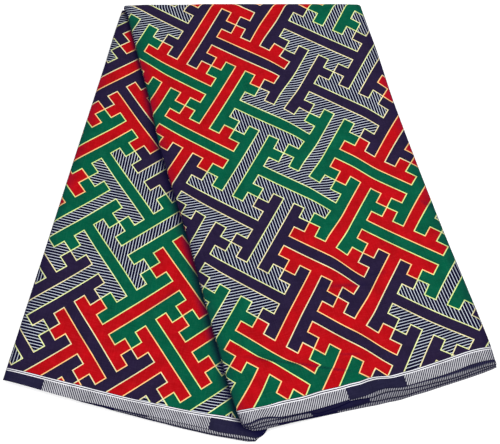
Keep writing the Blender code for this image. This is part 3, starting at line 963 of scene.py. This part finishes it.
def layer_point(sizes, section, group, inset, share):
    """A point of the layers, where share is 0 on the face towards the other leg and 1 on the outer face."""
    leg, value = section
    across = inset / sizes.strip_width
    inner_top = STACK - sizes.sheet - CLEAR
    if leg is None:
        inner_radius = (LAID_ON - inner_top) / 2
        outer_radius = TURN_RADIUS - sizes.sheet - CLEAR
        reach, rise = math.sin(value) * turn_share(across), math.cos(value)
        inner_z = (LAID_ON + inner_top) / 2 + inner_radius * rise
        inner = Vector((fold_x(across), AXIS_Y + inner_radius * reach, inner_z))
        outer = Vector((fold_x(across), AXIS_Y + outer_radius * reach, TURN_RADIUS + outer_radius * rise))
        point = inner.lerp(outer, share) + wander(FRONT, across, 1.0)
        return point, length_at(FRONT, across) + TURN_RADIUS * value
    point, from_hem = on_leg(leg, group, across, value)
    if leg is BACK:
        past_turn = length_at(BACK, across) - from_hem - TURN_UNDER
        low = (sizes.sheet + CLEAR) * (1.0 - smooth(past_turn / RISE_LENGTH))
        point.z = inner_top + (low - inner_top) * share
    else:
        low = ground_under_front(point)
        from_side = min(inset, sizes.strip_width - inset)
        from_ends = min(value, 1.0 - value) * length_at(FRONT, across)
        sunk = SUNK * smooth(from_side / SINK_REACH) * smooth(from_ends / SINK_REACH)
        point.z = low + (front_top(point) - sizes.sheet - CLEAR - sunk - low) * share
    return point, from_hem


def fold_profile(sizes, half):
    """Round a double layer: inset and lift from its middle, over its top from the left and back beneath."""
    left, right = SIDE_BACK, sizes.strip_width - SIDE_BACK
    flat = right - left - 2 * FOLD_REACH
    angles = [math.pi * step / FOLD_STEPS for step in range(1, FOLD_STEPS)]
    over = [(left + FOLD_REACH + flat * step / LAYER_COLUMNS, half) for step in range(LAYER_COLUMNS + 1)]
    down_right = [(right - FOLD_REACH * (1.0 - math.sin(turn)), half * math.cos(turn)) for turn in angles]
    up_left = [(left + FOLD_REACH * (1.0 - math.sin(turn)), -half * math.cos(turn)) for turn in angles]
    return over + down_right + [(inset, -half) for inset, _ in reversed(over)] + up_left + over[:1]


class WAXPRINT_OT_folded_layers(bpy.types.Operator):
    """The double layers between the outer cloths, from hem over the fold to hem"""

    bl_idname = "wax_print.folded_layers"
    bl_label = "Folded Layers"

    def execute(self, context):
        sizes = context.scene.wax_print_cloth
        rows = 2 * LAYER_LEG_ROWS + LAYER_TURN_ROWS
        made = []
        for fold in range(sizes.folds):
            profile = fold_profile(sizes, FOLD_FILL / sizes.folds / 2)
            groups = (LAYER_GROUPS[fold], LAYER_GROUPS[sizes.folds - 1 - fold])

            def place(column, row):
                inset, lift = profile[column]
                section = layer_section(row)
                across = inset / sizes.strip_width
                leg = section[0] or FRONT
                group = groups[0] if leg is BACK else groups[1]
                share = (fold + 0.5) / sizes.folds + lift
                point, from_hem = layer_point(sizes, section, group, inset, share)
                return (
                    point,
                    cloth_place(leg, group, across, 0.0, from_hem),
                    print_place(leg, across, 0.0, from_hem, further=2 * fold * sizes.strip_width),
                    shade_place(leg, group, across, from_hem),
                )

            made.append(add_sheet(f"layer_{fold}", len(profile) - 1, rows, place))
        bpy.ops.object.select_all(action="DESELECT")
        for layer in made:
            layer.select_set(True)
        bpy.context.view_layer.objects.active = made[0]
        bpy.ops.object.join()
        layers = bpy.context.object
        layers.name = "folded_layers"
        layers.data.name = "folded_layers"
        bpy.ops.object.mode_set(mode="EDIT")
        bpy.ops.mesh.select_all(action="SELECT")
        bpy.ops.mesh.remove_doubles(threshold=MERGE)
        bpy.ops.mesh.normals_make_consistent(inside=False)
        bpy.ops.object.mode_set(mode="OBJECT")
        thicken(layers, sizes.layer)
        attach(layers, "root")
        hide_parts("hidden_layers")
        return {"FINISHED"}


class WAXPRINT_OT_stage(bpy.types.Operator):
    """The camera, a plain pale floor and soft studio light"""

    bl_idname = "wax_print.stage"
    bl_label = "Stage"

    def execute(self, context):
        stage = context.scene.wax_print_stage
        camera = bpy.data.objects.new("camera", bpy.data.cameras.new("camera"))
        context.scene.collection.objects.link(camera)
        camera.data.lens = stage.lens
        camera.data.sensor_width = 36.0
        camera.data.sensor_fit = "HORIZONTAL"
        lean = Vector((0.0, -math.sin(stage.tilt), math.cos(stage.tilt)))
        camera.location = TARGET + lean * stage.distance
        camera.rotation_euler = (stage.tilt, 0.0, 0.0)
        context.scene.camera = camera
        # The print's flat bright colours on white reach the eye as they are
        context.scene.view_settings.view_transform = "Standard"

        bpy.ops.object.select_all(action="DESELECT")
        bpy.ops.mesh.primitive_plane_add(size=FLOOR_SIZE, location=(0.0, 0.0, -FLOOR_BELOW))
        floor = bpy.context.object
        floor.name = "floor"
        painted = bpy.data.materials.new("matt_white_floor")
        painted.use_nodes = True
        shader = painted.node_tree.nodes["Principled BSDF"]
        shader.inputs["Base Color"].default_value = linear(stage.floor)
        shader.inputs["Roughness"].default_value = 0.9
        shader.inputs["Emission Color"].default_value = linear(stage.floor)
        shader.inputs["Emission Strength"].default_value = FLOOR_GLOW
        floor.data.materials.append(painted)

        world = bpy.data.worlds.new("white_room")
        world.use_nodes = True
        world.node_tree.nodes["Background"].inputs["Color"].default_value = (1.0, 1.0, 1.0, 1.0)
        world.node_tree.nodes["Background"].inputs["Strength"].default_value = stage.fill_light
        context.scene.world = world
        for name, place, side, share in LAMPS:
            light = bpy.data.lights.new(name, "AREA")
            light.shape = "SQUARE"
            light.size = side
            light.energy = stage.key_light * share
            lamp = bpy.data.objects.new(name, light)
            context.scene.collection.objects.link(lamp)
            lamp.location = place
            lamp.rotation_euler = (TARGET - Vector(place)).to_track_quat("-Z", "Y").to_euler()
        return {"FINISHED"}


class WAXPRINT_PT_sidebar(bpy.types.Panel):
    """Lists the pieces, sizes and colours of the cloth"""

    bl_label = "Wax Print Fabric"
    bl_idname = "WAXPRINT_PT_sidebar"
    bl_space_type = "VIEW_3D"
    bl_region_type = "UI"
    bl_category = "Wax Print"

    def draw(self, context):
        for group in (
            context.scene.wax_print_cloth,
            context.scene.wax_print_colours,
            context.scene.wax_print_stage,
        ):
            box = self.layout.box()
            for name in group.__annotations__:
                box.prop(group, name)
        for piece in PIECES:
            self.layout.operator(piece.bl_idname)


PIECES = (
    WAXPRINT_OT_stage,
    WAXPRINT_OT_front_cloth,
    WAXPRINT_OT_back_cloth,
    WAXPRINT_OT_folded_layers,
)
CLASSES = (WaxPrintCloth, WaxPrintColours, WaxPrintStage, *PIECES, WAXPRINT_PT_sidebar)


def register():
    for each in CLASSES:
        bpy.utils.register_class(each)
    bpy.types.Scene.wax_print_cloth = bpy.props.PointerProperty(type=WaxPrintCloth)
    bpy.types.Scene.wax_print_colours = bpy.props.PointerProperty(type=WaxPrintColours)
    bpy.types.Scene.wax_print_stage = bpy.props.PointerProperty(type=WaxPrintStage)


def unregister():
    for name in ("wax_print_cloth", "wax_print_colours", "wax_print_stage"):
        delattr(bpy.types.Scene, name)
    for each in reversed(CLASSES):
        bpy.utils.unregister_class(each)


def main():
    register()
    bpy.ops.wax_print.stage()
    bpy.ops.wax_print.front_cloth()
    bpy.ops.wax_print.back_cloth()
    bpy.ops.wax_print.folded_layers()


if __name__ == "__main__":
    main()
